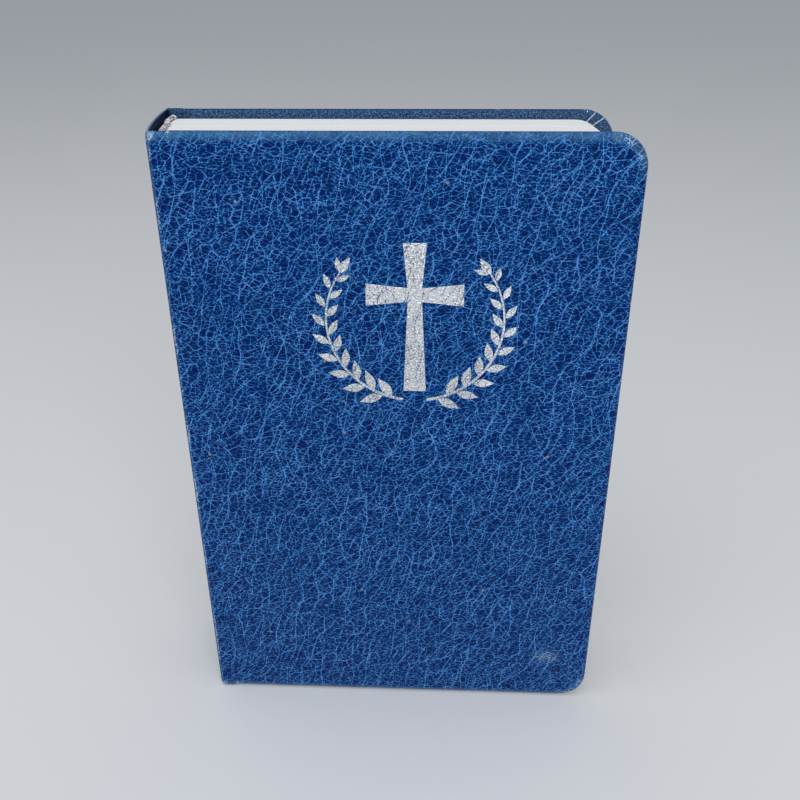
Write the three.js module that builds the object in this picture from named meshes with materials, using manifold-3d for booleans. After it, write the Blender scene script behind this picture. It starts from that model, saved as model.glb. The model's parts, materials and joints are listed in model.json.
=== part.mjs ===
import * as THREE from 'three';
import * as BufferGeometryUtils from 'three/addons/utils/BufferGeometryUtils.js';
import Module from 'manifold-3d';

// A thick devotional book bound in soft imitation leather, closed and standing on its tail edge.
// Millimetres. +Z runs from tail to head, the spine is at -X, the fore edge at +X, and the front
// cover faces -Y. The origin is the middle of the footprint.

// Driving dimensions
const coverWidth = 147;         // each cover, from the spine's corner to the fore edge
const coverHeight = 222;
const bookThickness = 38;       // outer face to outer face
const coverCorner = 10.5;       // radius of the covers' two fore-edge corners
const lean = 4.4;               // the back cover has slid this far towards the spine: a cocked book
const spineBulge = 1;           // how far the spine is rounded out at mid thickness
const square = 3;               // how far the covers stand past the leaves at head and tail
const foreSquare = 5;           // the same at the fore edge
const leafCorner = 8;           // radius of the leaves' fore-edge corners
const sectionCount = 25;        // folded and sewn sections in the text block

// Sheet thicknesses
const leather = 0.6;
const board = 1.4;
const endpaper = 0.2;
const cloth = 0.2;
const liner = 0.2;
const spineCard = 0.5;
const thread = 0.4;
const clearance = 0.1;          // air between two layers
const hollow = 0.4;             // the hollow back: air between the spine cover and the text block

// Cover details
const coverCut = 2.6;           // covers and spine cover end this far from the spine's corners, round the hinge
const boardInset = 7;           // the stiff board starts here, so the leather between is the flexible joint
const turnIn = 14;              // leather folded over the board's edges and onto its inside
const spineTurnIn = 12;         // the same at the spine's head and tail
const windowCorner = 4;         // radius of the corners that the turn-ins leave on a board's inside
const pastedownInset = 5;
const flapReach = 32;           // the cloth flaps glued inside the covers end here
const flapMargin = 4;           // and stay this far inside the turn-ins

// Text block details
const foldRound = 0.45;         // how far a section's folded edge is rounded
const liningMargin = 6;         // spine lining, short of head and tail
const mullMargin = 14;
const bandTail = 8;             // the part of a head or tail band glued down the spine
const bandBead = 1.2;           // height of its rolled edge
const bandReach = 1.9;          // how far that edge reaches over the folds
const stationCount = 5;         // sewing stations
const stationMargin = 21;       // first and last station, from tail and head
const threadHeight = 0.5;

// Depths below a cover's outer face
const boardDepth = leather + clearance;
const turnInDepth = boardDepth + board + clearance;
const coverDepth = turnInDepth + leather;
const pastedownDepth = coverDepth + clearance;
const flyleafDepth = pastedownDepth + endpaper + clearance;
const leavesDepth = flyleafDepth + endpaper + clearance;

// Depths below the spine's outer face
const cardInset = leather + clearance;
const spineTurnInInset = cardInset + spineCard + clearance;
const spineCoverDepth = spineTurnInInset + leather;
const liningInset = spineCoverDepth + hollow;
const mullInset = liningInset + liner + clearance;
const threadInset = mullInset + cloth + clearance;
const foldInset = threadInset + thread + clearance;

const halfThickness = bookThickness / 2;
const spineEdge = -coverWidth / 2;
const foreEdge = coverWidth / 2;
const headOfLeaves = coverHeight - square;
const arcSegments = 3;
const spineSegments = 8;
const through = 1;              // how far a cutting solid runs past what it cuts
const FRONT = -1;
const BACK = 1;

const wasm = await Module();
wasm.setup();

/** Sideways shift of the leaning book at a place through its thickness. */
const leanAt = (y) => -lean * y / bookThickness;

/** How far the rounded spine stands out there. */
const bulgeAt = (y) => spineBulge * (1 - (y / halfThickness) ** 2);

/** X of a layer that lies a given depth below the spine's outer face. */
const spineX = (y, depth) => spineEdge + leanAt(y) - bulgeAt(y) + depth;

function toSolid(geometry) {
  geometry.deleteAttribute('normal');
  geometry.deleteAttribute('uv');
  const merged = BufferGeometryUtils.mergeVertices(geometry);
  return new wasm.Manifold(new wasm.Mesh({
    numProp: 3,
    vertProperties: new Float32Array(merged.attributes.position.array),
    triVerts: new Uint32Array(merged.index.array),
  }));
}

function toGeometry(solid) {
  const mesh = solid.getMesh();
  const geometry = new THREE.BufferGeometry();
  geometry.setAttribute('position', new THREE.BufferAttribute(mesh.vertProperties, 3));
  geometry.setIndex(new THREE.BufferAttribute(mesh.triVerts, 1));
  geometry.computeVertexNormals();
  return geometry;
}

/** Outline in width and height: square on the spine side, round at the fore edge. */
function outline(x0, x1, z0, z1, radius) {
  const shape = new THREE.Shape();
  shape.moveTo(x0, z0);
  shape.lineTo(x1 - radius, z0);
  shape.absarc(x1 - radius, z0 + radius, radius, -Math.PI / 2, 0);
  shape.absarc(x1 - radius, z1 - radius, radius, 0, Math.PI / 2);
  shape.lineTo(x0, z1);
  return shape;
}

/** The trimmed shape that leaves and endpapers share, from a given depth below the spine. */
function leafOutline(inset) {
  return outline(spineEdge + inset, foreEdge - foreSquare, square, headOfLeaves, leafCorner);
}

/** An outline stood upright, filling y0 to y1. */
function upright(shape, y0, y1, steps = 1) {
  const geometry = new THREE.ExtrudeGeometry(shape, {
    depth: y1 - y0,
    steps,
    bevelEnabled: false,
    curveSegments: arcSegments,
  });
  geometry.rotateX(Math.PI / 2);
  geometry.translate(0, y1, 0);
  return geometry;
}

/** A layer of the front or back cover, between two depths below that cover's outer face. */
function coverLayer(shape, side, near, far) {
  const ends = [side * (halfThickness - near), side * (halfThickness - far)];
  const geometry = upright(shape, Math.min(...ends), Math.max(...ends));
  geometry.translate(leanAt(side * halfThickness), 0, 0);
  return geometry;
}

/** A layer that follows the rounded spine, between two depths below its outer face. */
function spineLayer(near, far, reach, z0, z1) {
  const plan = new THREE.Shape();
  const ys = Array.from({ length: spineSegments + 1 }, (_, i) => reach * (2 * i / spineSegments - 1));
  plan.setFromPoints([
    ...ys.map((y) => new THREE.Vector2(spineX(y, near), y)),
    ...ys.reverse().map((y) => new THREE.Vector2(spineX(y, far), y)),
  ]);
  const geometry = new THREE.ExtrudeGeometry(plan, { depth: z1 - z0, bevelEnabled: false });
  geometry.translate(0, 0, z0);
  return geometry;
}

/** Cover leather: an outer sheet wrapped round the board's three free edges and turned in. */
function coverLeather(side) {
  const shell = outline(spineEdge + coverCut, foreEdge, 0, coverHeight, coverCorner);
  const pocket = outline(
    spineEdge, foreEdge - leather,
    leather, coverHeight - leather, coverCorner - leather,
  );
  const opening = outline(
    spineEdge, foreEdge - turnIn,
    turnIn, coverHeight - turnIn, windowCorner,
  );
  return toGeometry(
    toSolid(coverLayer(shell, side, 0, coverDepth))
      .subtract(toSolid(coverLayer(pocket, side, leather, turnInDepth)))
      .subtract(toSolid(coverLayer(opening, side, boardDepth, coverDepth + through))),
  );
}

/** The stiff board inside the cover leather. */
function coverBoard(side) {
  const edge = leather + clearance;
  const shape = outline(
    spineEdge + boardInset, foreEdge - edge,
    edge, coverHeight - edge, coverCorner - edge,
  );
  return coverLayer(shape, side, boardDepth, boardDepth + board);
}

/** The cloth flap glued to the inside of the board, between the turn-ins. */
function mullFlap(side) {
  const margin = turnIn + flapMargin;
  const shape = outline(
    spineEdge + boardInset, spineEdge + flapReach,
    margin, coverHeight - margin, flapMargin,
  );
  return coverLayer(shape, side, turnInDepth + clearance, turnInDepth + clearance + cloth);
}

const pastedown = (side) => coverLayer(
  leafOutline(pastedownInset), side, pastedownDepth, pastedownDepth + endpaper,
);

const flyleaf = (side) => coverLayer(
  leafOutline(foldInset), side, flyleafDepth, flyleafDepth + endpaper,
);

/** A folded section: flat leaves with a rounded fold, sheared with the leaning text block. */
function section(y0, y1) {
  const geometry = upright(leafOutline(foldInset), y0, y1, 2);
  const position = geometry.attributes.position;
  const middle = (y0 + y1) / 2;
  const nearMiddle = (y1 - y0) / 4;
  for (let i = 0; i < position.count; i += 1) {
    const x = position.getX(i);
    const y = position.getY(i);
    const onFold = x < spineEdge + foldInset + foldRound;
    const rounding = Math.abs(y - middle) < nearMiddle ? 0 : foldRound;
    position.setX(i, x + leanAt(y) + (onFold ? rounding - bulgeAt(y) : 0));
  }
  geometry.computeVertexNormals();
  return geometry;
}

/** Spine leather: an outer sheet turned in over the card at head and tail. */
function spineLeather() {
  const reach = halfThickness - coverCut;
  const past = reach + through;
  return toGeometry(
    toSolid(spineLayer(0, spineCoverDepth, reach, 0, coverHeight))
      .subtract(toSolid(spineLayer(leather, spineTurnInInset, past, leather, coverHeight - leather)))
      .subtract(toSolid(spineLayer(
        cardInset, spineCoverDepth + through, past,
        spineTurnIn, coverHeight - spineTurnIn,
      ))),
  );
}

/** The card strip that stiffens the spine cover. */
function spineInlay() {
  const edge = leather + clearance;
  return spineLayer(
    cardInset, cardInset + spineCard, halfThickness - coverCut - edge, edge, coverHeight - edge,
  );
}

const textReach = halfThickness - leavesDepth;

const spineLining = () => spineLayer(
  liningInset, liningInset + liner, textReach, liningMargin, coverHeight - liningMargin,
);

const mull = () => spineLayer(
  mullInset, mullInset + cloth, textReach, mullMargin, coverHeight - mullMargin,
);

const sewingThread = (z) => spineLayer(
  threadInset, threadInset + thread, textReach - leather, z - threadHeight / 2, z + threadHeight / 2,
);

/** A head or tail band: a cloth tail on the spine and a rolled edge over the ends of the folds. */
function endBand(atHead) {
  const rim = atHead ? headOfLeaves + clearance : square - clearance;
  const outward = atHead ? 1 : -1;
  const span = (from, to) => [Math.min(from, to), Math.max(from, to)];
  const tail = spineLayer(
    mullInset, mullInset + cloth, textReach, ...span(rim - outward * bandTail, rim + outward * bandBead),
  );
  const bead = spineLayer(
    mullInset, mullInset + bandReach, textReach, ...span(rim, rim + outward * bandBead),
  );
  return toGeometry(toSolid(tail).add(toSolid(bead)));
}

const finish = (color, roughness, metalness = 0) => (
  new THREE.MeshStandardMaterial({ color, roughness, metalness })
);
const blueLeather = finish(0x14468c, 0.5);
const greyBoard = finish(0x8d887d, 0.9);
const kraft = finish(0xa88a62, 0.9);
const whiteStock = finish(0xf0efec, 0.85);
const leafPaper = finish(0xe9e9ea, 0.85);
const gauze = finish(0xd9d4c8, 0.95);
const bandCloth = finish(0xd8c8ca, 0.9);
const linenThread = finish(0xe6e1d3, 0.8);

const book = new THREE.Group();

function add(name, geometry, material) {
  const mesh = new THREE.Mesh(geometry, material);
  mesh.name = name;
  book.add(mesh);
}

for (const [place, side] of [['front', FRONT], ['back', BACK]]) {
  add(`${place}_cover_leather`, coverLeather(side), blueLeather);
  add(`${place}_board`, coverBoard(side), greyBoard);
  add(`${place}_mull_flap`, mullFlap(side), gauze);
  add(`${place}_pastedown`, pastedown(side), whiteStock);
  add(`${place}_flyleaf`, flyleaf(side), whiteStock);
}

add('spine_leather', spineLeather(), blueLeather);
add('spine_inlay', spineInlay(), kraft);
add('spine_lining', spineLining(), kraft);
add('mull', mull(), gauze);
add('head_band', endBand(true), bandCloth);
add('tail_band', endBand(false), bandCloth);

const stationPitch = (coverHeight - 2 * stationMargin) / (stationCount - 1);
for (let i = 0; i < stationCount; i += 1) {
  add(`sewing_thread_${i + 1}`, sewingThread(stationMargin + i * stationPitch), linenThread);
}

const sectionPitch = (2 * textReach + clearance) / sectionCount;
for (let i = 0; i < sectionCount; i += 1) {
  const y = -textReach + i * sectionPitch;
  const number = String(i + 1).padStart(2, '0');
  add(`signature_${number}`, section(y, y + sectionPitch - clearance), leafPaper);
}

export default book;
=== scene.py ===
import json
import math

import bpy
import numpy as np
from mathutils import Matrix, Vector, noise


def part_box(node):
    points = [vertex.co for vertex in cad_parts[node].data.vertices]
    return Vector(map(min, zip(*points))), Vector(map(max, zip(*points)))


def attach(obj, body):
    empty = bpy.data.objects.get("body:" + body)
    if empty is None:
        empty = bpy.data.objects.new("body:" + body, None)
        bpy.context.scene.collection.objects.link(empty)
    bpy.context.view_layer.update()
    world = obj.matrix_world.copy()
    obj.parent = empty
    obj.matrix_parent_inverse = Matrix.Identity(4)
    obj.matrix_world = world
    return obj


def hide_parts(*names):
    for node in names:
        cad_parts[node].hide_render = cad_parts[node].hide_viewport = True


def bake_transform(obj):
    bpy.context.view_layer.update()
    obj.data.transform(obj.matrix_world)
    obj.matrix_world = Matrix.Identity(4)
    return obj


# The looks of a thick bible bound in blue grained imitation leather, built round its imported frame.
# Metres, +Z from tail to head, spine at -X, front cover facing -Y.

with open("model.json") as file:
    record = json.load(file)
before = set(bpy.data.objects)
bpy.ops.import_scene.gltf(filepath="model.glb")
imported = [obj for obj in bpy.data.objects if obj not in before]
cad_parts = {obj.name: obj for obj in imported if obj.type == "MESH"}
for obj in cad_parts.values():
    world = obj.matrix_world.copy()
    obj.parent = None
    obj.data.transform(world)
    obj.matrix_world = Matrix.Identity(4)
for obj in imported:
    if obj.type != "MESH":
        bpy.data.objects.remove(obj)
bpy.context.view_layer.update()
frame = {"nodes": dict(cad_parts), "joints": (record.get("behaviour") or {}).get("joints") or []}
MM = 0.001

# -----------------------------------------------------------------------------
# Places taken from the frame
# -----------------------------------------------------------------------------

FRONT, BACK = -1, 1                                   # the two sides, as the sign of y
PLACE = {FRONT: "front", BACK: "back"}
ROOT = "text_block_spine"
HINGES = {joint["name"]: joint["pos_m"] for joint in frame["joints"]}
FRONT_LOW, FRONT_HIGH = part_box("front_cover_leather")
BACK_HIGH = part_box("back_cover_leather")[1]
HALF = -FRONT_LOW.y                                   # half the book's thickness
HEIGHT = FRONT_HIGH.z
COVER_THICKNESS = FRONT_HIGH.y - FRONT_LOW.y
HINGE_INSET = HINGES["front_cover_hinge"][1] + HALF   # hinge line to the two outer faces beside it
CORNER_X = {side: HINGES[f"{PLACE[side]}_cover_hinge"][0] - HINGE_INSET for side in PLACE}
FORE_X = {FRONT: FRONT_HIGH.x, BACK: BACK_HIGH.x}

# -----------------------------------------------------------------------------
# Sizes of the soft work, which the frame's plain solids leave out
# -----------------------------------------------------------------------------

LEATHER = 0.6 * MM
COVER_CORNER = 10.5 * MM       # radius of the covers' fore-edge corners, as in the frame
LEAF_CORNER = 8.0 * MM         # radius of the leaves' fore-edge corners, as in the frame
FORE_SQUARE = 5.0 * MM         # covers stand past the leaves' fore edges by this, as in the frame
SPINE_BULGE = 1.0 * MM         # rounding of the spine at mid thickness, as in the frame
FOLD_INSET = 3.4 * MM          # spine's outer face to the sections' folds, as in the frame
ROLL = 3.4 * MM                # the outer face starts to roll over this far from a cover's edge
ROLL_BACK = 0.8 * MM           # the same on the inner face
TURN_IN = 9.0 * MM
JOINT_THICKNESS = 1.4 * MM     # leather and turn-in, with no board between
SPINE_THICKNESS = 1.9 * MM     # leather, card and turn-in
SPINE_FOLD = 1.25 * MM         # the leather folded on itself at the spine's head and tail
SHARP = math.radians(60)       # the sheet's cut edges turn more than this, and its rolls less
ROUNDING = 1e-6                # of a step, so that a whole number of steps isn't rounded up


def smoothstep(value, low, high):
    t = np.clip((np.asarray(value, float) - low) / (high - low), 0, 1)
    return t * t * (3 - 2 * t)


def ridge(value, middle, width):
    """1 at the middle, fading to 0 on both sides."""
    return np.exp(-((value - middle) / width) ** 2)


def graded(*stretches):
    """Stations along a line, from stretches of (start, end, widest step)."""
    runs = []
    for start, end, widest in stretches:
        steps = max(1, math.ceil(abs(end - start) / widest - ROUNDING))
        runs.append(np.linspace(start, end, steps + 1))
    return np.concatenate([runs[0]] + [run[1:] for run in runs[1:]])


def spine_x(y):
    """X of the spine's outer face: a chord between its corners, rounded out."""
    chord = np.interp(y, [-HALF, HALF], [CORNER_X[FRONT], CORNER_X[BACK]])
    return chord - SPINE_BULGE * (1 - (np.asarray(y) / HALF) ** 2)


def fore_x(y):
    """X of the covers' fore edges, slanting between front and back as the book leans."""
    return np.interp(y, [-HALF, HALF], [FORE_X[FRONT], FORE_X[BACK]])


# -----------------------------------------------------------------------------
# Mesh helpers
# -----------------------------------------------------------------------------

def mesh_object(name, points, faces, material, smooth=True):
    mesh = bpy.data.meshes.new(name)
    mesh.from_pydata([tuple(p) for p in points], [], [tuple(map(int, f)) for f in faces])
    mesh.validate()
    mesh.update()
    if smooth:
        mesh.shade_smooth()
    else:
        mesh.shade_flat()
    mesh.materials.append(material)
    obj = bpy.data.objects.new(name, mesh)
    bpy.context.scene.collection.objects.link(obj)
    return obj


def add_attribute(obj, name, values):
    """Stores one number or one vector per point."""
    values = np.asarray(values, np.float32)
    kind, key = ("FLOAT", "value") if values.ndim == 1 else ("FLOAT_VECTOR", "vector")
    attribute = obj.data.attributes.new(name, kind, "POINT")
    attribute.data.foreach_set(key, values.ravel())


def apply_modifiers(obj):
    graph = bpy.context.evaluated_depsgraph_get()
    mesh = bpy.data.meshes.new_from_object(
        obj.evaluated_get(graph), preserve_all_data_layers=True, depsgraph=graph,
    )
    obj.modifiers.clear()
    obj.data = mesh


def grid_faces(rows, columns):
    """Quads of a grid whose points run row by row."""
    i, j = np.meshgrid(np.arange(rows - 1), np.arange(columns - 1), indexing="ij")
    a = i * columns + j
    return np.stack([a, a + 1, a + columns + 1, a + columns], axis=-1).reshape(-1, 4)


def tube_faces(rings, count, start=0):
    """Quads between closed rings of points, and one face over each end."""
    ring = start + np.arange(count)
    faces = [tuple(ring), tuple(ring[::-1] + count * (rings - 1))]
    for k in range(rings - 1):
        a = ring + k * count
        b = np.roll(a, -1)
        faces += [tuple(face) for face in np.stack([a, a + count, b + count, b], axis=-1)]
    return faces


# -----------------------------------------------------------------------------
# The leather's path, seen from above: from mid spine round its corner and along the cover
# -----------------------------------------------------------------------------

class Wrap:
    STEP = 0.05 * MM               # between the path's points
    SOFTEN = 2.2 * MM              # the corner is rounded by two running means of this length
    SPARE = 6 * MM                 # the path is drawn on by this, as the running means shorten it

    def __init__(self, side):
        self.side = side
        spine_y = np.arange(-side * self.SPARE, side * HALF, side * self.STEP)
        cover_x = np.arange(CORNER_X[side], FORE_X[side] + self.SPARE, self.STEP)
        x = np.concatenate([spine_x(spine_y), cover_x])
        y = np.concatenate([spine_y, np.full(len(cover_x), side * HALF)])
        count = int(self.SOFTEN / self.STEP)
        kernel = np.convolve(np.ones(count) / count, np.ones(count) / count)
        x, y = (np.convolve(values, kernel, "valid") for values in (x, y))
        keep = (y * side > -0.5 * self.STEP) & (x <= FORE_X[side])
        self.x, self.y = x[keep], y[keep]
        self.u = np.concatenate([[0], np.cumsum(np.hypot(np.diff(self.x), np.diff(self.y)))])
        tangent_x, tangent_y = np.gradient(self.x, self.u), np.gradient(self.y, self.u)
        self.normal_x, self.normal_y = side * tangent_y, -side * tangent_x
        self.end = self.u[-1]
        off_corner = np.abs(self.x - CORNER_X[side]) + np.abs(self.y - side * HALF)
        self.corner = self.u[np.argmin(off_corner)]

    def place(self, u, z, depth):
        """Points at a distance u along the path, at height z, this deep below the outer face."""
        x, y, nx, ny = (
            np.interp(u, self.u, values) for values in (self.x, self.y, self.normal_x, self.normal_y)
        )
        return np.stack([x + nx * depth, y + ny * depth, z], axis=-1)


# -----------------------------------------------------------------------------
# Cover leather
# -----------------------------------------------------------------------------

CARD_EDGE = -3 * MM            # distances from the spine's corner along the cover: the card thins,
BOARD_START = 4.5 * MM         # the board begins under the leather,
BOARD_FULL = 7.5 * MM          # and the cover is at its full thickness
WARP = 0.16 * MM               # slow unevenness of the leather's face
WARP_WAVES = (
    # wave length along the path and up, in millimetres; strength; place in the noise
    (38, 46, 1.0, -7.3),
    (13, 15, 0.45, -2.1),
)
JOINT_GROOVE = 0.16 * MM
ORNAMENT_U = 79 * MM           # the ornament's middle, from the spine's corner along the front cover
ORNAMENT_Z = 163 * MM
PRESSED_FLAT = 36 * MM         # the leather is flat this far round the ornament's middle
UNPRESSED = 58 * MM


def thickness_at(wrap, u):
    """Thickness of the wrapped cover along its path: spine, flexible joint, then board."""
    off_corner = u - wrap.corner
    spine_to_joint = smoothstep(off_corner, CARD_EDGE, 0)
    joint_to_board = smoothstep(off_corner, BOARD_START, BOARD_FULL)
    thin = SPINE_THICKNESS + (JOINT_THICKNESS - SPINE_THICKNESS) * spine_to_joint
    return thin + (COVER_THICKNESS - thin) * joint_to_board


def face_relief(wrap, u, z):
    """Slow unevenness of the outer face, pressed flat where the ornament is stamped, and the
    shallow groove over the flexible joint."""
    waves = 0
    for length, rise, strength, seed in WARP_WAVES:
        waves = waves + strength * np.array([
            noise.noise(Vector((a / (length * MM), b / (rise * MM), seed)))
            for a, b in zip(-wrap.side * u, z)
        ])
    off_corner = u - wrap.corner
    if wrap.side == FRONT:
        off_middle = np.hypot(off_corner - ORNAMENT_U, z - ORNAMENT_Z)
        waves = waves * smoothstep(off_middle, PRESSED_FLAT, UNPRESSED)
    on_cover = smoothstep(off_corner, 2 * MM, 9 * MM)
    return WARP * waves * (0.3 + 0.7 * on_cover) + JOINT_GROOVE * ridge(off_corner, 5.6 * MM, 1.1 * MM)


def skin_grid(wrap):
    """Stations of the outer face inside the rolled edges, with its corners rounded."""
    right = wrap.end - ROLL
    low, high = ROLL, HEIGHT - ROLL
    radius = COVER_CORNER - ROLL
    bend_start, joint_end = wrap.corner - 4 * MM, wrap.corner + 9 * MM
    u = graded(
        (0, bend_start, 1.6 * MM),
        (bend_start, joint_end, 0.35 * MM),
        (joint_end, right - radius, 2 * MM),
        (right - radius, right, radius / 10),
    )
    z = graded(
        (low, low + radius, radius / 10),
        (low + radius, high - radius, 2 * MM),
        (high - radius, high, radius / 10),
    )
    z, u = np.meshgrid(z, u, indexing="ij")
    centre_u = right - radius
    for centre_z, sign in ((low + radius, -1), (high - radius, 1)):
        a, b = (u - centre_u) / radius, (z - centre_z) * sign / radius
        inside = (a > 0) & (b > 0)
        round_u = centre_u + radius * a * np.sqrt(1 - b ** 2 / 2 * inside)
        round_z = centre_z + sign * radius * b * np.sqrt(1 - a ** 2 / 2 * inside)
        u, z = np.where(inside, round_u, u), np.where(inside, round_z, z)
    return u, z


def edge_loop(shape):
    """Indices of the grid's tail row, fore-edge column and head row, in one run."""
    rows, columns = shape
    index = np.arange(rows * columns).reshape(shape)
    return np.concatenate([index[0], index[1:-1, -1], index[-1, ::-1]])


def rolled_rim(wrap, u, z):
    """The points where the face starts to roll over, and the directions in which it does."""
    radius = COVER_CORNER - ROLL
    core_u = np.minimum(u, wrap.end - ROLL - radius)
    core_z = np.clip(z, ROLL + radius, HEIGHT - ROLL - radius)
    rim = np.stack([u, z], axis=-1)
    away = rim - np.stack([core_u, core_z], axis=-1)
    return rim, away / np.linalg.norm(away, axis=1)[:, None]


# How the outer face rolls over: part of ROLL gone, and part of the front share's depth reached.
# At head and tail the boards' edges are bevelled, and at the fore edge they are only rounded.
BEVEL = (
    (0.12, 0.012), (0.25, 0.05), (0.40, 0.13), (0.55, 0.24),
    (0.70, 0.37), (0.84, 0.55), (0.95, 0.78), (1, 1),
)
ROUND = (
    (0.24, 0.012), (0.44, 0.035), (0.62, 0.09), (0.76, 0.19),
    (0.87, 0.34), (0.94, 0.54), (0.985, 0.78), (1, 1),
)
FRONT_SHARE = 0.6              # of the fold, in front of the edge's outermost line
REGAINED = 4 * MM              # the inner side is back at its full depth this far in


def edge_profile(thickness, fold, to_fore):
    """(outward distance, depth) of each ring from the face round the edge and onto the inside.
    The fold over the spine's ends is thinner, as the card stops short of them."""
    front = FRONT_SHARE * fold
    rings = []
    for (bevel_out, bevel_depth), (round_out, round_depth) in zip(BEVEL, ROUND):
        out = bevel_out + (round_out - bevel_out) * to_fore
        depth = bevel_depth + (round_depth - bevel_depth) * to_fore
        rings.append((ROLL * out, front * depth))
    for angle in np.radians([30, 60, 90]):
        out = ROLL - ROLL_BACK * (1 - np.cos(angle))
        rings.append((out, front + (fold - front) * np.sin(angle)))
    for inward in np.linspace(ROLL_BACK, TURN_IN, 9)[1:]:
        gain = smoothstep(inward, ROLL_BACK, REGAINED)
        rings.append((ROLL - inward, fold + (thickness - fold) * gain))
    return rings


def ring_marks(out, through, away, on_spine):
    """What the material reads on one ring round the edge, which lies this far out and this part
    of the way through the fold."""
    inside = smoothstep(through, 0.75, 1 - 0.05 * on_spine)
    # The band where the head and tail edges roll over: the material paints it lighter, as dust and as
    # a painted highlight of the rolled edge.
    cover_edge = smoothstep(out, 0, 0.8 * ROLL) * (1 - smoothstep(np.abs(away[:, 0]), 0, 0.5))
    cover_edge = cover_edge * (1 - smoothstep(through, 0.5, 0.62))
    spine_edge = smoothstep(out, 0.75 * ROLL, 0.95 * ROLL)
    return {
        "edge": (cover_edge + (spine_edge - cover_edge) * on_spine) * (1 - inside),
        "inside": inside,
        "on_spine": on_spine,
        "angle": np.degrees(np.arctan2(away[:, 0], np.abs(away[:, 1]))),
        "crest": smoothstep(through, 0.42, 0.58) * (1 - inside) * (1 - on_spine),
        "inward": np.maximum(0, (ROLL - out) * inside) / MM,
    }


# Rubbed places, and the line along the spine's corner that is partly a painted highlight, as (middle,
# width) in millimetres
SPINE_LINE, SPINE_END, JOINT_END = (0.6, 0.5), (1.0, 2.0), (6.6, 0.6)    # from the spine's corner
CRUMPLE = (12.3, 0.25)         # from the head
SCUFF_IN = (15.9, 6.5)         # from the fore edge
SCUFF_UP = (21, 4.0)           # from the tail


def wear_and_spine_highlight(wrap, u, z):
    """Where the leather is rubbed, from 0 to 1, with a painted highlight along the spine's corner on
    top. Distances are in millimetres.
    """
    off_corner = (u - wrap.corner) / MM
    off_fore = (wrap.end - u) / MM
    off_tail, off_head = z / MM, (HEIGHT - z) / MM
    off_end = np.minimum(off_tail, off_head)
    at_end = 1 - smoothstep(off_end, 1.5, 4.5)
    patches = np.array([noise.noise(Vector((a / (9 * MM), 3.1, 5.7))) for a in z])
    # A lighter line along the spine's corner: painted highlight, with rubbed pale spots where it is
    # strongest.
    spine_line = ridge(off_corner, *SPINE_LINE) * (0.55 + 0.45 * smoothstep(patches, 0.05, 0.3))
    spine_end = ridge(off_corner, *SPINE_END) * at_end
    joint_end = ridge(off_corner, *JOINT_END) * at_end
    radius = COVER_CORNER / MM
    reach = np.hypot(np.maximum(0, radius - off_fore), np.maximum(0, radius - off_end))
    round_corner = smoothstep(reach, radius - 4.5, radius - 1.5) * (off_fore < radius)
    round_corner = round_corner * smoothstep(off_end, 13, 8)
    crumple = ridge(off_head, *CRUMPLE) * smoothstep(off_fore, 4.5, 1.5)
    scuff = ridge(off_fore, *SCUFF_IN) * ridge(off_tail, *SCUFF_UP) * (wrap.side == FRONT)
    return np.maximum.reduce([
        0.95 * spine_line, 0.9 * spine_end, 0.9 * joint_end,
        0.64 * round_corner, 0.7 * crumple, 0.72 * scuff,
    ])


def skin_faces(shape, loop, rings, flip):
    """The face's grid, and a strip of quads from its edge and from each ring to the next ring."""
    faces = [grid_faces(*shape)]
    previous = loop
    for ring in range(rings):
        current = shape[0] * shape[1] + ring * len(loop) + np.arange(len(loop))
        faces.append(np.stack([previous[:-1], current[:-1], current[1:], previous[1:]], axis=-1))
        previous = current
    faces = np.concatenate(faces)
    return faces[:, ::-1] if flip else faces


def cover_skin(side, material):
    """One sheet of leather over half the spine and one cover, turned in round its edges."""
    wrap = Wrap(side)
    u, z = skin_grid(wrap)
    shape = u.shape
    u, z = u.ravel(), z.ravel()
    loop = edge_loop(shape)
    rim, away = rolled_rim(wrap, u[loop], z[loop])
    on_spine = 1 - smoothstep(rim[:, 0] - wrap.corner, -1.5 * MM, 0.5 * MM)
    to_fore = np.maximum(smoothstep(np.abs(away[:, 0]), 0, 0.7), on_spine)
    thickness = thickness_at(wrap, rim[:, 0])
    fold = thickness + (SPINE_FOLD - thickness) * on_spine
    relief = face_relief(wrap, u, z)
    points = [wrap.place(u, z, relief)]
    sheet = [np.stack([u, z], axis=-1)]
    marks = {}
    travelled, last_out, last_depth = 0, 0, 0
    rings = edge_profile(thickness, fold, to_fore)
    for out, depth in rings:
        travelled = travelled + np.hypot(out - last_out, depth - last_depth)
        last_out, last_depth = out, depth
        faded = relief[loop] * (1 - smoothstep(depth, 0, 0.5 * thickness))
        flat = rim + away * np.reshape(out, (-1, 1))
        points.append(wrap.place(flat[:, 0], flat[:, 1], depth + faded))
        sheet.append(rim + away * travelled[:, None])
        for name, values in ring_marks(out, depth / fold, away, on_spine).items():
            marks.setdefault(name, [np.zeros(len(u))]).append(values)
    obj = mesh_object(
        f"{PLACE[side]}_leather_sheet", np.concatenate(points),
        skin_faces(shape, loop, len(rings), side == BACK), material,
    )
    sheet = np.concatenate(sheet)
    marks = {name: np.concatenate(values) for name, values in marks.items()}
    marks["worn_and_highlight"] = wear_and_spine_highlight(wrap, sheet[:, 0], sheet[:, 1]) * (1 - marks["inside"])
    marks["sheet"] = np.column_stack([-side * sheet[:, 0], sheet[:, 1], np.zeros(len(sheet))])
    for name, values in marks.items():
        add_attribute(obj, name, values)
    solid = obj.modifiers.new("thickness", "SOLIDIFY")
    solid.thickness, solid.offset, solid.use_even_offset = LEATHER, -1, False
    apply_modifiers(obj)
    obj.data.set_sharp_from_angle(angle=SHARP)
    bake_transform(obj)
    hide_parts(f"{PLACE[side]}_cover_leather", "spine_leather")
    return wrap


# -----------------------------------------------------------------------------
# Boards, with the bevel that the leather follows
# -----------------------------------------------------------------------------

BOARD_EDGE = (
    # in from the board's outline, and below its outer face, in millimetres
    (2.7, 0), (2.4, 0.05), (1.8, 0.22), (0.8, 0.52), (0.35, 0.76), (0.1, 0.96), (0, 1.16), (0, 1.4),
)


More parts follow.
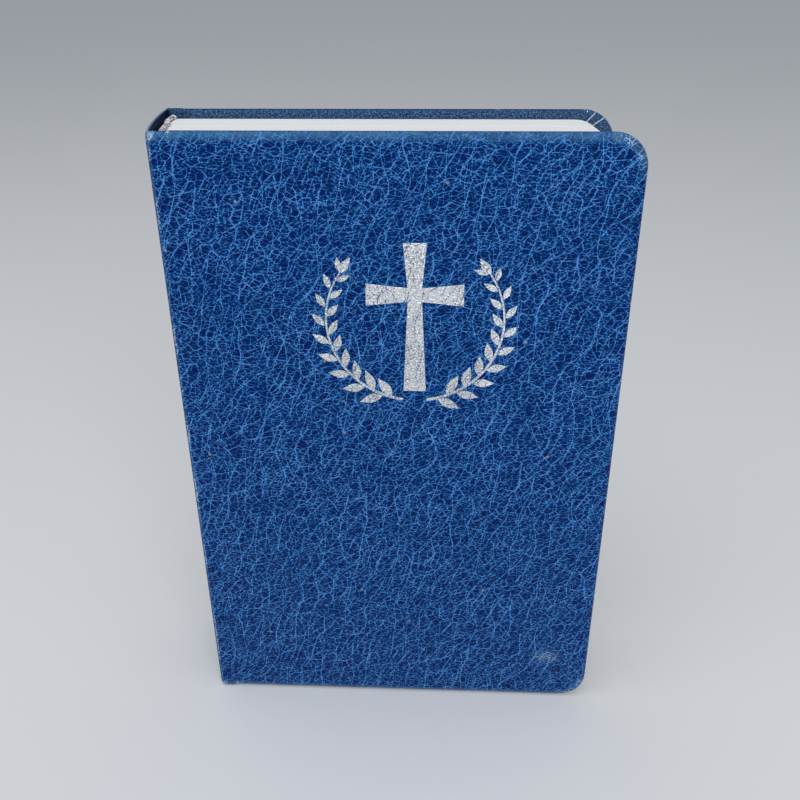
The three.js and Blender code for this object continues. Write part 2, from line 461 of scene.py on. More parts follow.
def board_piece(side, material):
    node = f"{PLACE[side]}_board"
    low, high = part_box(node)
    outer = low.y if side == FRONT else high.y
    radius = COVER_CORNER - (FORE_X[side] - high.x)
    arc = np.radians(np.linspace(0, 90, 13))
    x, low_z, high_z = high.x - radius, low.z + radius, high.z - radius
    points = []
    for inset, depth in BOARD_EDGE:
        inset, depth = inset * MM, depth * MM
        reach = radius - inset
        tail = np.stack([x + reach * np.sin(arc), low_z - reach * np.cos(arc)], axis=-1)
        head = np.stack([x + reach * np.cos(arc), high_z + reach * np.sin(arc)], axis=-1)
        square = [(low.x + inset, high.z - inset), (low.x + inset, low.z + inset)]
        outline = np.concatenate([tail, head, square])
        y = np.full(len(outline), outer - side * depth)
        points.append(np.stack([outline[:, 0], y, outline[:, 1]], axis=-1))
    faces = tube_faces(len(points), len(points[0]))
    if side == BACK:
        faces = [face[::-1] for face in faces]
    obj = mesh_object(f"{node}_bevelled", np.concatenate(points), faces, material, smooth=False)
    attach(obj, f"{PLACE[side]}_cover")
    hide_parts(node)


# -----------------------------------------------------------------------------
# Leaves: sections, flyleaves and pastedowns
# -----------------------------------------------------------------------------

SECTIONS = 25
MIDDLE_SECTION = 13
SECTION_GAP = 0.04 * MM        # each section is swollen by this on both faces
SECTION_LEVELS = 9             # rows of points through a section's thickness
FOLD_ROUND = 0.45 * MM         # how far the fold's outer leaves stand back from its middle
RAGGED = 0.035 * MM            # unevenness of the trimmed edges
ENDPAPER_INSET = 3.6 * MM      # spine's outer face to the endpapers' folds
rng = np.random.default_rng(11)


def leaf_stations(x0, x1):
    """Distances along a leaf from its fold, close together in the gutter and round the corner."""
    gutter, near, corner = x0 + 12 * MM, x0 + 36 * MM, x1 - LEAF_CORNER
    straight = graded((x0, gutter, 0.8 * MM), (gutter, near, 2 * MM), (near, corner, 18 * MM))
    arc = corner + LEAF_CORNER * np.sin(np.radians(np.linspace(0, 90, 9)[1:]))
    return np.concatenate([straight, arc])


def leaf_block(name, material, levels, z_range, inset, sheared=True, fold_round=0.0, ragged=0.0):
    """A stack of leaves between the given levels through the book's thickness, lowest first.
    Its three trimmed edges are a wall of rows, one per level, and its two faces are flat. A
    sheared stack's fore edge follows the book's lean, and the others follow their cover."""
    z0, z1 = z_range
    middle, half = (levels[0] + levels[-1]) / 2, (levels[-1] - levels[0]) / 2
    rows = []
    for y in levels:
        nose = fold_round * min(1, ((y - middle) / half) ** 2)
        x0 = float(spine_x(y)) + inset + nose
        x1 = float(fore_x(y if sheared else math.copysign(HALF, y))) - FORE_SQUARE
        trim = rng.normal(0, ragged, 3)
        x = leaf_stations(x0, x1)
        past = np.maximum(0, x - (x1 - LEAF_CORNER))
        drop = LEAF_CORNER - np.sqrt(np.maximum(0, LEAF_CORNER ** 2 - past ** 2))
        fore = smoothstep(x, x1 - LEAF_CORNER, x1) * trim[0]
        tail = np.stack([x + fore, np.full(len(x), y), z0 + drop + trim[1] * (x > x0)], axis=-1)
        head = np.stack([x + fore, np.full(len(x), y), z1 - drop + trim[2] * (x > x0)], axis=-1)
        rows.append(np.concatenate([tail, head[::-1]]))
    points = np.concatenate(rows)
    obj = mesh_object(name, points, leaf_faces(len(levels), len(rows[0])), material, smooth=False)
    add_attribute(obj, "sheet", points)
    return obj


def leaf_faces(rows, count):
    """Quads of the wall round a block of leaves, and of its two faces, which join the tail half
    of a row to its head half."""
    ring = np.arange(count)
    faces = []
    for row in range(rows - 1):
        a = row * count + ring
        b = np.roll(a, -1)
        faces.append(np.stack([a, b, b + count, a + count], axis=-1))
    i = np.arange(count // 2 - 1)
    cap = np.stack([i, i + 1, count - 2 - i, count - 1 - i], axis=-1)
    return np.concatenate(faces + [cap[:, ::-1], cap + (rows - 1) * count])


def section_piece(number, material):
    name = f"signature_{number:02d}"
    low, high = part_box(name)
    levels = np.linspace(low.y - SECTION_GAP, high.y + SECTION_GAP, SECTION_LEVELS)
    obj = leaf_block(
        f"leaves_{number:02d}", material, levels, (low.z, high.z), FOLD_INSET,
        fold_round=FOLD_ROUND, ragged=RAGGED,
    )
    if number == MIDDLE_SECTION:
        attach(obj, ROOT)
    else:
        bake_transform(obj)
    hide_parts(name)


def endpaper_piece(side, kind, material):
    """The pasted-down or the free half of an endpaper; both start at its fold in the gutter."""
    node = f"{PLACE[side]}_{kind}"
    low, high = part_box(node)
    obj = leaf_block(
        f"{node}_sheet", material, np.array([low.y, high.y]), (low.z, high.z), ENDPAPER_INSET,
        sheared=False,
    )
    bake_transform(obj)
    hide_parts(node)


# -----------------------------------------------------------------------------
# Head and tail bands
# -----------------------------------------------------------------------------

BEAD_WIDE = 0.68 * MM          # half the roll's width across the folds
BEAD_TALL = 0.5 * MM           # half its height
BEAD_INSET = 3.75 * MM         # spine's outer face to the roll's middle
BEAD_DROP = 0.62 * MM          # the roll's middle to the node's outer end
SLUMP = 0.9 * MM               # the roll hangs back towards the spine by this near the back cover
TAIL_DEPTHS = (2.6 * MM, 2.8 * MM)


def band_roll(node, outward, material):
    """A ribbed and slumped roll of cloth over the ends of the folds."""
    low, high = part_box(node)
    end_z = high.z if outward > 0 else low.z
    angles = np.radians(np.arange(0, 360, 30))
    ys = np.linspace(low.y, high.y, 260)
    rings = []
    for k, y in enumerate(ys):
        lumps, drift, lift = (
            noise.noise(Vector((y / (length * MM), place, outward)))
            for length, place in ((0.7, 0), (2.2, 9), (3, 5))
        )
        rib = 0.12 * MM * abs(math.sin(k * 0.42)) + 0.3 * MM * lumps
        x = float(spine_x(y)) + BEAD_INSET - SLUMP * ridge(y / MM, 10, 4) + 0.25 * MM * drift
        z = end_z - outward * BEAD_DROP + outward * 0.3 * MM * lift
        across, up = (BEAD_WIDE + rib) * np.cos(angles), (BEAD_TALL + rib) * np.sin(angles)
        rings.append(np.stack([x + across, np.full(len(angles), y), z + up], axis=-1))
    points = np.concatenate(rings)
    roll = mesh_object(f"{node}_roll", points, tube_faces(len(ys), len(angles)), material)
    add_attribute(roll, "sheet", points)
    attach(roll, ROOT)
    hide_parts(node)


def band_tail(node, outward, material):
    """The band's cloth tail, glued down the spine."""
    low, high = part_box(node)
    end_z, far_z = (high.z, low.z) if outward > 0 else (low.z, high.z)
    bead_z = end_z - outward * BEAD_DROP
    near, deep = TAIL_DEPTHS
    corners = ((near, far_z), (near, bead_z), (deep, bead_z), (deep, far_z))
    ys = np.linspace(low.y, high.y, 24)
    points = np.array([(float(spine_x(y)) + depth, y, z) for y in ys for depth, z in corners])
    faces = tube_faces(len(ys), len(corners))
    tail = mesh_object(f"{node}_tail", points, faces, material, smooth=False)
    add_attribute(tail, "sheet", points)
    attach(tail, ROOT)


# -----------------------------------------------------------------------------
# Node materials
# -----------------------------------------------------------------------------

class Nodes:
    """Short names for building a material's node tree."""

    def __init__(self, name):
        self.material = bpy.data.materials.new(name)
        self.material.use_nodes = True
        self.tree = self.material.node_tree
        self.shader = self.tree.nodes["Principled BSDF"]

    def add(self, kind, **settings):
        node = self.tree.nodes.new(kind)
        for key, value in settings.items():
            setattr(node, key, value)
        return node

    def feed(self, socket, value):
        if isinstance(value, bpy.types.NodeSocket):
            self.tree.links.new(value, socket)
        else:
            socket.default_value = value

    def math(self, operation, a, b=0.0):
        node = self.add("ShaderNodeMath", operation=operation)
        self.feed(node.inputs[0], a)
        self.feed(node.inputs[1], b)
        return node.outputs[0]

    def vector(self, operation, a, b=(0, 0, 0)):
        node = self.add("ShaderNodeVectorMath", operation=operation)
        self.feed(node.inputs[0], a)
        self.feed(node.inputs[1], b)
        return node.outputs["Value" if operation == "DOT_PRODUCT" else "Vector"]

    def scaled(self, vector, factor):
        node = self.add("ShaderNodeVectorMath", operation="SCALE")
        self.feed(node.inputs[0], vector)
        self.feed(node.inputs["Scale"], factor)
        return node.outputs[0]

    def attribute(self, name, output="Fac"):
        return self.add("ShaderNodeAttribute", attribute_name=name).outputs[output]

    def sheet(self):
        """The rest position on the sheet of leather or paper, in millimetres."""
        return self.scaled(self.attribute("sheet", "Vector"), 1 / MM)

    def solid(self):
        """The position in the object itself, in millimetres, for what has no sheet."""
        return self.scaled(self.add("ShaderNodeTexCoord").outputs["Object"], 1 / MM)

    def turned(self, vector, degrees, stretch):
        """The pattern space turned, so that what is drawn in it is stretched along that direction."""
        node = self.add("ShaderNodeMapping", vector_type="TEXTURE")
        self.feed(node.inputs["Vector"], vector)
        node.inputs["Rotation"].default_value = (0, 0, math.radians(degrees))
        node.inputs["Scale"].default_value = (stretch, 1, 1)
        return node.outputs[0]

    def noise(self, vector, size, detail=2.0, roughness=0.5, output="Fac"):
        node = self.add("ShaderNodeTexNoise", noise_dimensions="3D")
        self.feed(node.inputs["Vector"], vector)
        node.inputs["Scale"].default_value = 1 / size
        node.inputs["Detail"].default_value = detail
        node.inputs["Roughness"].default_value = roughness
        return node.outputs[output]

    def cells(self, vector, size, feature="DISTANCE_TO_EDGE"):
        """Distance to the nearest cell's edge, or to its middle with feature F1."""
        node = self.add("ShaderNodeTexVoronoi", voronoi_dimensions="2D", feature=feature)
        self.feed(node.inputs["Vector"], vector)
        node.inputs["Scale"].default_value = 1 / size
        return self.math("MULTIPLY", node.outputs["Distance"], size)

    def step(self, value, low, high, to_low=0.0, to_high=1.0):
        """A smooth step between two values."""
        node = self.add("ShaderNodeMapRange", interpolation_type="SMOOTHSTEP")
        for socket, given in zip(node.inputs, (value, low, high, to_low, to_high)):
            self.feed(socket, given)
        return node.outputs[0]

    def mix(self, factor, a, b):
        node = self.add("ShaderNodeMix", data_type="RGBA")
        self.feed(node.inputs["Factor"], factor)
        for socket, value in ((node.inputs[6], a), (node.inputs[7], b)):
            self.feed(socket, value if isinstance(value, bpy.types.NodeSocket) else (*value, 1))
        return node.outputs[2]

    def bump(self, height, distance, strength):
        node = self.add("ShaderNodeBump")
        self.feed(node.inputs["Height"], height)
        node.inputs["Distance"].default_value = distance
        node.inputs["Strength"].default_value = strength
        return node.outputs[0]

    def finish(self, **inputs):
        for key, value in inputs.items():
            socket = self.shader.inputs[key.replace("_", " ")]
            if not isinstance(value, (int, float, bpy.types.NodeSocket)):
                value = (*value, 1)
            self.feed(socket, value)
        return self.material


# -----------------------------------------------------------------------------
# Leather and foil. Sizes are in millimetres, and colours are linear RGB.
# -----------------------------------------------------------------------------

CREASES = (
    # cell size, turn in degrees, stretch, half width, height, faintest, patch size
    (4.8, 62, 1.4, 0.19, 0.52, 0.40, 12.0),
    (2.5, 20, 1.2, 0.18, 0.58, 0.60, 9.0),
    (1.30, -8, 1.9, 0.17, 0.48, 0.45, 6.0),
    (0.90, -4, 2.4, 0.15, 0.40, 0.35, 3.5),
)
COARSE = 2.0                   # cells larger than this are drawn in the softly pulled space
LONG_CREASES = (
    # spacing, direction in degrees, half width, height, patch size
    (4.6, 58, 0.23, 0.60, 10.0),
    (6.2, 80, 0.25, 0.62, 12.0),
    (5.4, 28, 0.20, 0.50, 8.0),
)
WINDING = (26.0, 2.4)          # the long creases wind in waves of this size, by this many spacings
PLEATS = (
    # round a fore-edge corner: angle and slant in degrees, length
    (7, 10, 0.9),
    (22, 22, 9),
    (40, 16, 9),
)

NAVY = (0.0, 0.0, 0.055), (0.0, 0.004, 0.095)
MIDDLING = (0.006, 0.105, 0.34), (0.014, 0.13, 0.40)
BRIGHT = (0.075, 0.245, 0.58), (0.105, 0.29, 0.66)
# dust on the head and tail edges, and a painted highlight of their rolled faces
DUST_AND_SHEEN = (0.085, 0.22, 0.40)
SPINE_EDGE = (0.27, 0.33, 0.48)
TURNED_IN = (0.008, 0.030, 0.085), (0.14, 0.22, 0.34)
# painted shade: the lining in the spine's deep hollow is painted near black
HOLLOW_PAINTED_SHADE = (0.002, 0.008, 0.035)
CREST = (0.004, 0.018, 0.07)
# faded rubbed places, and the painted highlight along the spine's corner
FADED_AND_HIGHLIGHT = (0.14, 0.32, 0.52)
RUBBED = (0.46, 0.58, 0.67)
DIRT = (0.38, 0.36, 0.30)
# painted highlight on the pleats' ridges round the corners, partly worn
PLEAT_HIGHLIGHT_AND_WEAR = (0.72, 0.78, 0.82)
SILVER = (0.88, 0.91, 0.93)
# dull silver, and its darker tone for the painted reflections
DULL_AND_REFLECTED_SILVER = (0.52, 0.55, 0.59), (0.30, 0.33, 0.37)
LOST_FOIL = (0.04, 0.09, 0.2)


def pulled_about(n, flat, size, reach):
    """A pattern space moved about by noise of this size, up to half the reach."""
    push = n.vector("SUBTRACT", n.noise(flat, size, 1, output="Color"), (0.5, 0.5, 0.5))
    return n.vector("ADD", flat, n.scaled(push, reach))


def cell_creases(n, flat, space, size, turn, stretch, width, height, faintest, patch):
    """Creases along the edges of cells, fainter in patches."""
    line = n.step(n.cells(n.turned(space, turn, stretch), size), 0.0, width, 1.0, 0.0)
    aside = n.vector("ADD", flat, (size * 31, size * 17, 0))
    fade = n.step(n.noise(aside, patch, 1), 0.35, 0.52, faintest, 1.0)
    return n.math("MULTIPLY", n.math("MULTIPLY", line, fade), height)


def long_creases(n, flat, space, spacing, direction, width, height, patch):
    """A family of long winding creases in one direction, broken off in patches."""
    aside = n.vector("ADD", flat, (spacing * 13, spacing * 29, 0))
    angle = math.radians(direction)
    across = n.vector("DOT_PRODUCT", space, (-math.sin(angle), math.cos(angle), 0))
    size, reach = WINDING
    winding = n.math("MULTIPLY", n.noise(aside, size, 1), reach)
    across = n.math("ADD", n.math("DIVIDE", across, spacing), winding)
    distance = n.math("MULTIPLY", n.math("PINGPONG", across, 0.5), spacing)
    line = n.step(distance, 0.0, width, height, 0.0)
    return n.math("MULTIPLY", line, n.step(n.noise(aside, patch, 1), 0.36, 0.50))


def crease_network(n):
    """The sheet, the space that its finer cells are drawn in, and how light the leather is: 0 on
    a pebble and 1 in a crease."""
    flat = n.sheet()
    wide = pulled_about(n, flat, 18.0, 3.5)
    soft = pulled_about(n, wide, 4.0, 0.5)
    rough = pulled_about(n, wide, 1.9, 0.35)
    total = 0.0
    for size, *rest in CREASES:
        space = soft if size > COARSE else rough
        total = n.math("ADD", total, cell_creases(n, flat, space, size, *rest))
    for crease in LONG_CREASES:
        total = n.math("ADD", total, long_creases(n, flat, soft, *crease))
    return flat, rough, n.step(total, 0.05, 1.12)


def specks(n, flat):
    """A few specks of dirt, far apart."""
    ragged = n.math("MULTIPLY", n.noise(flat, 0.8, 2), 0.8)
    return n.step(n.math("ADD", n.cells(flat, 48.0, "F1"), ragged), 0.6, 1.15, 0.6, 0.0)


def pleat_highlights_and_wear(n):
    """Thin pale lines where the leather is gathered as it turns in round a corner: painted highlights
    on the pleats' ridges, partly worn pale.
    """
    angle, inward, inside = n.attribute("angle"), n.attribute("inward"), n.attribute("inside")
    radius = n.math("SUBTRACT", COVER_CORNER / MM, inward)
    lines = 0.0
    for degrees, slant, length in PLEATS:
        aside = n.math("MULTIPLY", n.math("SUBTRACT", angle, float(degrees)), math.radians(1))
        arc = n.math("MULTIPLY", aside, radius)
        drift = n.math("MULTIPLY", inward, math.tan(math.radians(slant)))
        off = n.math("ABSOLUTE", n.math("ADD", arc, drift))
        reaching = n.step(inward, length - 0.4, length, 1.0, 0.0)
        line = n.math("MULTIPLY", n.step(off, 0.08, 0.19, 1.0, 0.0), reaching)
        lines = n.math("MAXIMUM", lines, line)
    return n.math("MULTIPLY", lines, n.step(inside, 0.2, 0.8))


def grained(n, flat, space, crease):
    """Navy pebbles with blue creases between them."""
    tone = n.step(n.noise(flat, 22.0, 3, 0.6), 0.3, 0.7)
    cell_tone = n.step(n.noise(space, 3.2, 2, 0.6), 0.3, 0.7)
    line = n.mix(n.step(crease, 0.4, 1.0), n.mix(tone, *MIDDLING), n.mix(tone, *BRIGHT))
    return n.mix(n.step(crease, 0.0, 0.55), n.mix(cell_tone, *NAVY), line)


def edges_coloured(n, flat, colour):
    """The head and tail edges, painted lighter in patches as dust and as a painted highlight of the
    rolled edge, the turned-in inner side, with painted shade in the spine's hollow, and the dark crest
    between the two.
    """
    grit = n.noise(flat, 0.55, 2, 0.7)
    on_spine, inside, edge = n.attribute("on_spine"), n.attribute("inside"), n.attribute("edge")
    # Patchy lighter paint on the head and tail edges: dust, and a painted highlight of the rolled
    # edge.
    cloud = n.step(n.noise(flat, 7.0, 2), 0.3, 0.7, 0.12, 0.42)
    dust_and_sheen_patches = n.math("ADD", cloud, n.step(grit, 0.35, 0.65, 0.0, 0.3))
    dust_and_sheen_mask = n.math("MULTIPLY", n.math("MULTIPLY", edge, dust_and_sheen_patches), n.math("SUBTRACT", 1.0, on_spine))
    colour = n.mix(dust_and_sheen_mask, colour, DUST_AND_SHEEN)
    colour = n.mix(n.math("MULTIPLY", n.math("MULTIPLY", edge, on_spine), 0.85), colour, SPINE_EDGE)
    # Inside the spine's hollow the lining is painted near black, as painted shade.
    lining = n.mix(on_spine, n.mix(n.step(grit, 0.44, 0.66), *TURNED_IN), HOLLOW_PAINTED_SHADE)
    colour = n.mix(n.math("MULTIPLY", inside, 0.9), colour, lining)
    return n.mix(n.math("MULTIPLY", n.attribute("crest"), 0.75), colour, CREST)


def worn_and_highlight_coloured(n, flat, crease, colour):
    """Rubbed places are faded, and pale where the rubbing, a crease and fine grit add up. Along the
    spine's corner the fading is a painted highlight, and the pale spots there are rubbed.
    """
    worn_and_highlight = n.attribute("worn_and_highlight")
    colour = n.mix(n.step(worn_and_highlight, 0.1, 0.6, 0.0, 0.2), colour, FADED_AND_HIGHLIGHT)
    rubbed = n.math("ADD", worn_and_highlight, n.math("MULTIPLY", crease, 0.45))
    rubbed = n.math("ADD", rubbed, n.noise(flat, 0.7, 3, 0.7))
    return n.mix(n.step(rubbed, 1.3, 1.6, 0.0, 0.8), colour, RUBBED)


def leather_material():
    n = Nodes("blue_leather")
    flat, space, crease = crease_network(n)
    colour = edges_coloured(n, flat, grained(n, flat, space, crease))
    colour = worn_and_highlight_coloured(n, flat, crease, colour)
    colour = n.mix(specks(n, flat), colour, DIRT)
    colour = n.mix(pleat_highlights_and_wear(n), colour, PLEAT_HIGHLIGHT_AND_WEAR)
    fine = n.noise(flat, 0.35, 2, 0.6)
    height = n.math("SUBTRACT", n.math("MULTIPLY", fine, 0.25), crease)
    rough = n.step(n.math("ADD", crease, n.math("MULTIPLY", fine, 0.3)), 0.0, 1.2, 0.4, 0.55)
    # The spine's hollow also loses most of its specular, along with its painted shade.
    in_hollow = n.math("MULTIPLY", n.attribute("inside"), n.attribute("on_spine"))
    shine = n.step(in_hollow, 0.0, 1.0, 0.35, 0.05)
    return n.finish(
        Base_Color=colour, Roughness=rough, Normal=n.bump(height, 0.10 * MM, 0.8),
        Specular_IOR_Level=shine, Specular_Tint=(0.1, 0.5, 1.0),
    )


def foil_material():
    """Stamped silver foil, broken where the leather's creases cross it, with broad darker patches that
    are painted reflections.
    """
    n = Nodes("silver_foil")
    flat, _, crease = crease_network(n)
    blotch = n.noise(flat, 1.1, 3, 0.65)
    lost = n.step(n.math("ADD", crease, n.math("MULTIPLY", blotch, 0.9)), 1.15, 1.4)
    dull = n.step(n.noise(flat, 0.6, 3, 0.75), 0.38, 0.6)
    # Broad patches of darker silver: painted reflections of darker surroundings.
    reflection_cloud = n.step(n.noise(flat, 12.0, 2), 0.35, 0.65)
    silver = n.mix(dull, SILVER, n.mix(reflection_cloud, *DULL_AND_REFLECTED_SILVER))
    metal = n.math("SUBTRACT", 1.0, n.math("MULTIPLY", lost, 0.9))
    height = n.math("SUBTRACT", 1.0, crease)
    return n.finish(
        Base_Color=n.mix(lost, silver, LOST_FOIL), Metallic=metal,
        Roughness=n.step(blotch, 0.3, 0.75, 0.20, 0.38), Normal=n.bump(height, 0.10 * MM, 0.9),
    )


# -----------------------------------------------------------------------------
# Paper, cloth, thread and board
# -----------------------------------------------------------------------------

def paper_material(name, colour, edge_colour, lines):
    """White paper with faint fibre. With lines, it has the cut leaves' fine lines, and otherwise
    it is slightly cloudy."""
    n = Nodes(name)
    flat = n.sheet()
    fibre = n.noise(flat, 0.8, 4, 0.65)
    leaf = n.noise(n.vector("MULTIPLY", flat, (0.01, 16.0, 0.01)), 1.0, 1)
    shade = n.step(leaf, 0.35, 0.65) if lines else n.noise(flat, 30.0, 2)
    base = n.mix(shade, edge_colour, colour)
    base = n.mix(n.math("MULTIPLY", n.step(fibre, 0.4, 0.7), 0.06), base, (0.55, 0.55, 0.55))
    line_height = n.math("MULTIPLY", leaf, 0.7 if lines else 0.0)
    height = n.math("ADD", n.math("MULTIPLY", fibre, 0.3), line_height)
    return n.finish(
        Base_Color=base, Roughness=0.8, Normal=n.bump(height, 0.03 * MM, 0.4),
        Specular_IOR_Level=0.3,
    )


def woven_material(name, light, dark, pitch):
    """Cloth or cord of crossed threads this far apart, with some grime."""
    n = Nodes(name)
    flat = n.solid()
    parts = n.add("ShaderNodeSeparateXYZ")
    n.feed(parts.inputs[0], flat)
    waves = [
        n.math("SINE", n.math("MULTIPLY", parts.outputs[axis], 2 * math.pi / pitch))
        for axis in ("Y", "Z")
    ]
    weave = n.step(n.math("MULTIPLY", *waves), -0.6, 0.6)
    grime = n.math("MULTIPLY", n.noise(flat, 5.0, 3, 0.6), 0.3)
    colour = n.mix(grime, n.mix(weave, dark, light), dark)
    return n.finish(Base_Color=colour, Roughness=0.9, Normal=n.bump(weave, 0.08 * MM, 0.8))


def pulp_material(name, light, dark):
    """Board and kraft card: pressed fibres."""
    n = Nodes(name)
    fibre = n.noise(n.turned(n.solid(), 30, 3.0), 0.7, 4, 0.7)
    colour = n.mix(n.step(fibre, 0.3, 0.7), dark, light)
    return n.finish(Base_Color=colour, Roughness=0.92, Normal=n.bump(fibre, 0.06 * MM, 0.7))


def band_material():
    """Pinkish white cloth, worn into tufts with dark gaps."""
    n = Nodes("band_cloth")
    flat = n.sheet()
    rib = n.math("SINE", n.math("MULTIPLY", n.noise(flat, 0.35, 2), 18.0))
    frayed = n.noise(flat, 0.75, 3, 0.7)
    colour = n.mix(n.step(rib, -0.5, 0.6), (0.62, 0.50, 0.54), (0.90, 0.86, 0.88))
    colour = n.mix(n.step(frayed, 0.50, 0.58, 0.0, 0.9), colour, (0.06, 0.05, 0.09))
    return n.finish(Base_Color=colour, Roughness=0.9, Normal=n.bump(frayed, 0.4 * MM, 0.9))


# -----------------------------------------------------------------------------
# The stamped ornament. Its outlines are in millimetres from its middle.
# -----------------------------------------------------------------------------

FOIL_LIFT = 0.03 * MM          # of the foil above the leather's face
FOIL_STEP = 0.0005 * MM        # each shape stands this much higher than the one before it
FOIL_DEPTH = 0.12 * MM
SPRIG_RADIUS = 28.5
LEAF_SPREAD = math.radians(40)


def leaf_shape(base, direction, length, width):
    """A leaf pointed at both ends."""
    along = np.linspace(0, 1, 9)
    bow = width / 2 * np.sin(math.pi * along ** 0.85) ** 1.15
    aside = np.array([-direction[1], direction[0]])
    middle = base + np.outer(along * length, direction)
    right, left = middle + np.outer(bow, aside), middle - np.outer(bow, aside)
    return np.concatenate([right[:-1], left[:0:-1]])


def sprig(mirror):
    """A laurel sprig on a round stem, from below the cross up one side."""
    angles = np.radians(np.linspace(-82, 34, 19))
    stem = SPRIG_RADIUS * np.stack([mirror * np.cos(angles), np.sin(angles)], axis=-1)
    ahead = np.stack([-mirror * np.sin(angles), np.cos(angles)], axis=-1)
    across = np.stack([-ahead[:, 1], ahead[:, 0]], axis=-1)
    half = np.linspace(0.5, 0.25, len(stem))[:, None]
    shapes = [np.concatenate([stem + across * half, (stem - across * half)[::-1]])]
    for k in range(1, len(stem) - 1, 2):
        size = 1 - 0.025 * k
        for sign, j in ((-1, k), (1, k + 1)):
            direction = ahead[j] * math.cos(LEAF_SPREAD) + sign * across[j] * math.sin(LEAF_SPREAD)
            shapes.append(leaf_shape(stem[j] + direction * 0.7, direction, 8.2 * size, 3.3 * size))
    shapes.append(leaf_shape(stem[-1], ahead[-1], 6.4, 2.7))
    return shapes


def cross_shape():
    """A plain Latin cross whose arms widen slightly towards their ends."""
    narrow, wide = 2.3, 3.7
    top, bottom, arm, bar = 26.0, -25.0, 15.5, 9.0
    return [np.array([
        (-narrow, bar + narrow), (-wide, top), (wide, top), (narrow, bar + narrow),
        (arm, bar + wide), (arm, bar - wide), (narrow, bar - narrow), (wide, bottom),
        (-wide, bottom), (-narrow, bar - narrow), (-arm, bar - wide), (-arm, bar + wide),
    ])]


def ornament(wrap, material):
    """Every shape is a thin flat plate let into the leather, and each stands a trace higher than
    the one before it, so that shapes which overlap don't share a face."""
    points, faces = [], []
    count = 0
    middle = np.array([wrap.corner + ORNAMENT_U, ORNAMENT_Z])
    for k, outline in enumerate(cross_shape() + sprig(1) + sprig(-1)):
        flat = outline * MM + middle
        relief = face_relief(wrap, flat[:, 0], flat[:, 1])
        for depth in (-FOIL_LIFT - FOIL_STEP * k, FOIL_DEPTH):
            points.append(wrap.place(flat[:, 0], flat[:, 1], relief + depth))
        faces += tube_faces(2, len(flat), start=count)
        count += 2 * len(flat)
    points = np.concatenate(points)
    obj = mesh_object("stamped_ornament", points, faces, material, smooth=False)
    along = points[:, 0] + wrap.corner - CORNER_X[FRONT]
    add_attribute(obj, "sheet", np.column_stack([along, points[:, 2], np.zeros(count)]))
    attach(obj, "front_cover")


# -----------------------------------------------------------------------------
# Camera, floor and light
# -----------------------------------------------------------------------------

EYE = Vector((16.2, -279.2, 274.8)) * MM
LOOK_DOWN = 28.31              # degrees
LOOK_ASIDE = -2.93
TILT = -0.454
LENS = 39.79
FLOOR_HALF = 20
FLOOR_DROP = 0.3 * MM          # the floor lies this far below the covers' edges
SKY_COLOUR = (0.86, 0.92, 1.0)
SKY_STRENGTH = 0.42


def make_camera():
    yaw, pitch, roll = (math.radians(a) for a in (LOOK_ASIDE, LOOK_DOWN, TILT))
    level = Vector((math.cos(yaw), -math.sin(yaw), 0))
    ahead = Vector((math.sin(yaw), math.cos(yaw), 0))
    forward = ahead * math.cos(pitch) - Vector((0, 0, math.sin(pitch)))
    up = level.cross(forward)
    right = level * math.cos(roll) + up * math.sin(roll)
    top = up * math.cos(roll) - level * math.sin(roll)
    data = bpy.data.cameras.new("camera")
    data.lens = LENS
    data.clip_start, data.clip_end = 0.01, 50
    camera = bpy.data.objects.new("camera", data)
    camera.matrix_world = Matrix((right, top, -forward)).transposed().to_4x4()
    camera.matrix_world.translation = EYE
    bpy.context.scene.collection.objects.link(camera)
    bpy.context.scene.camera = camera


def area_light(name, place, size, power):
    """A square lamp that faces the middle of the book."""
    data = bpy.data.lights.new(name, "AREA")
    data.size, data.energy = size, power
    light = bpy.data.objects.new(name, data)
    light.location = place
    towards = Vector((0, 0, 0.5 * HEIGHT)) - Vector(place)
    light.rotation_euler = towards.to_track_quat("-Z", "Y").to_euler()
    bpy.context.scene.collection.objects.link(light)


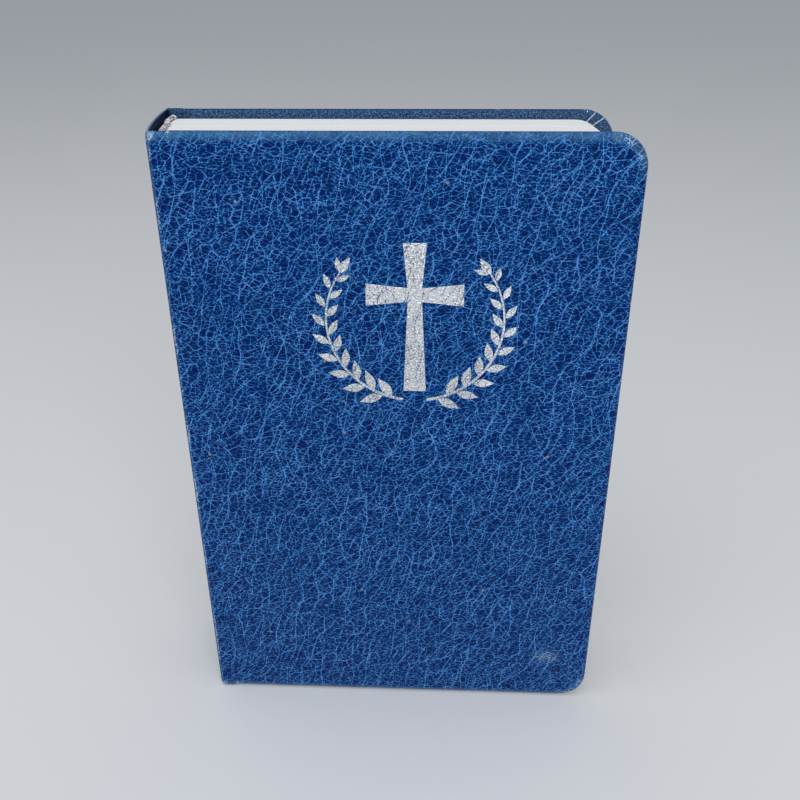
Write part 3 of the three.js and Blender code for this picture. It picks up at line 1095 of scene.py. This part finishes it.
def make_stage():
    n = Nodes("pale_floor")
    pale = n.finish(Base_Color=(0.84, 0.84, 0.84), Roughness=0.75, Specular_IOR_Level=0.2)
    corners = [(x * FLOOR_HALF, y * FLOOR_HALF, 0) for x, y in ((-1, -1), (1, -1), (1, 1), (-1, 1))]
    floor = mesh_object("floor", corners, [(0, 1, 2, 3)], pale)
    floor.location.z = -FLOOR_DROP
    world = bpy.data.worlds.new("sky")
    world.use_nodes = True
    sky = world.node_tree.nodes["Background"]
    sky.inputs["Color"].default_value = (*SKY_COLOUR, 1)
    sky.inputs["Strength"].default_value = SKY_STRENGTH
    bpy.context.scene.world = world
    bpy.context.scene.view_settings.view_transform = "Standard"
    area_light("sky_panel", (-0.25, -0.35, 1.3), 1.2, 6)
    area_light("front_panel", (0.3, -1.3, 0.7), 1.0, 8)


# -----------------------------------------------------------------------------
# Assembly
# -----------------------------------------------------------------------------

leather = leather_material()
wraps = {side: cover_skin(side, leather) for side in (FRONT, BACK)}
leaf_paper = paper_material("leaf_paper", (0.87, 0.88, 0.89), (0.80, 0.81, 0.82), True)
endpaper = paper_material("endpaper", (0.86, 0.85, 0.83), (0.82, 0.81, 0.79), False)
for number in range(1, SECTIONS + 1):
    section_piece(number, leaf_paper)
for side in (FRONT, BACK):
    for kind in ("pastedown", "flyleaf"):
        endpaper_piece(side, kind, endpaper)
cloth = band_material()
for node, outward in (("head_band", 1), ("tail_band", -1)):
    band_roll(node, outward, cloth)
    band_tail(node, outward, cloth)
ornament(wraps[FRONT], foil_material())

gauze = woven_material("gauze", (0.69, 0.65, 0.58), (0.42, 0.38, 0.32), 0.9)
thread = woven_material("linen_thread", (0.77, 0.74, 0.64), (0.5, 0.46, 0.38), 0.3)
kraft = pulp_material("kraft_card", (0.46, 0.32, 0.18), (0.3, 0.2, 0.1))
grey_board = pulp_material("grey_board", (0.36, 0.34, 0.3), (0.24, 0.22, 0.19))
for side in (FRONT, BACK):
    board_piece(side, grey_board)
finishes = {
    "mull": gauze, "front_mull_flap": gauze, "back_mull_flap": gauze,
    "spine_inlay": kraft, "spine_lining": kraft,
}
finishes.update({f"sewing_thread_{i}": thread for i in range(1, 6)})
for node, finish in finishes.items():
    slot = frame["nodes"][node].material_slots[0]
    slot.link = "OBJECT"
    slot.material = finish

make_stage()
make_camera()
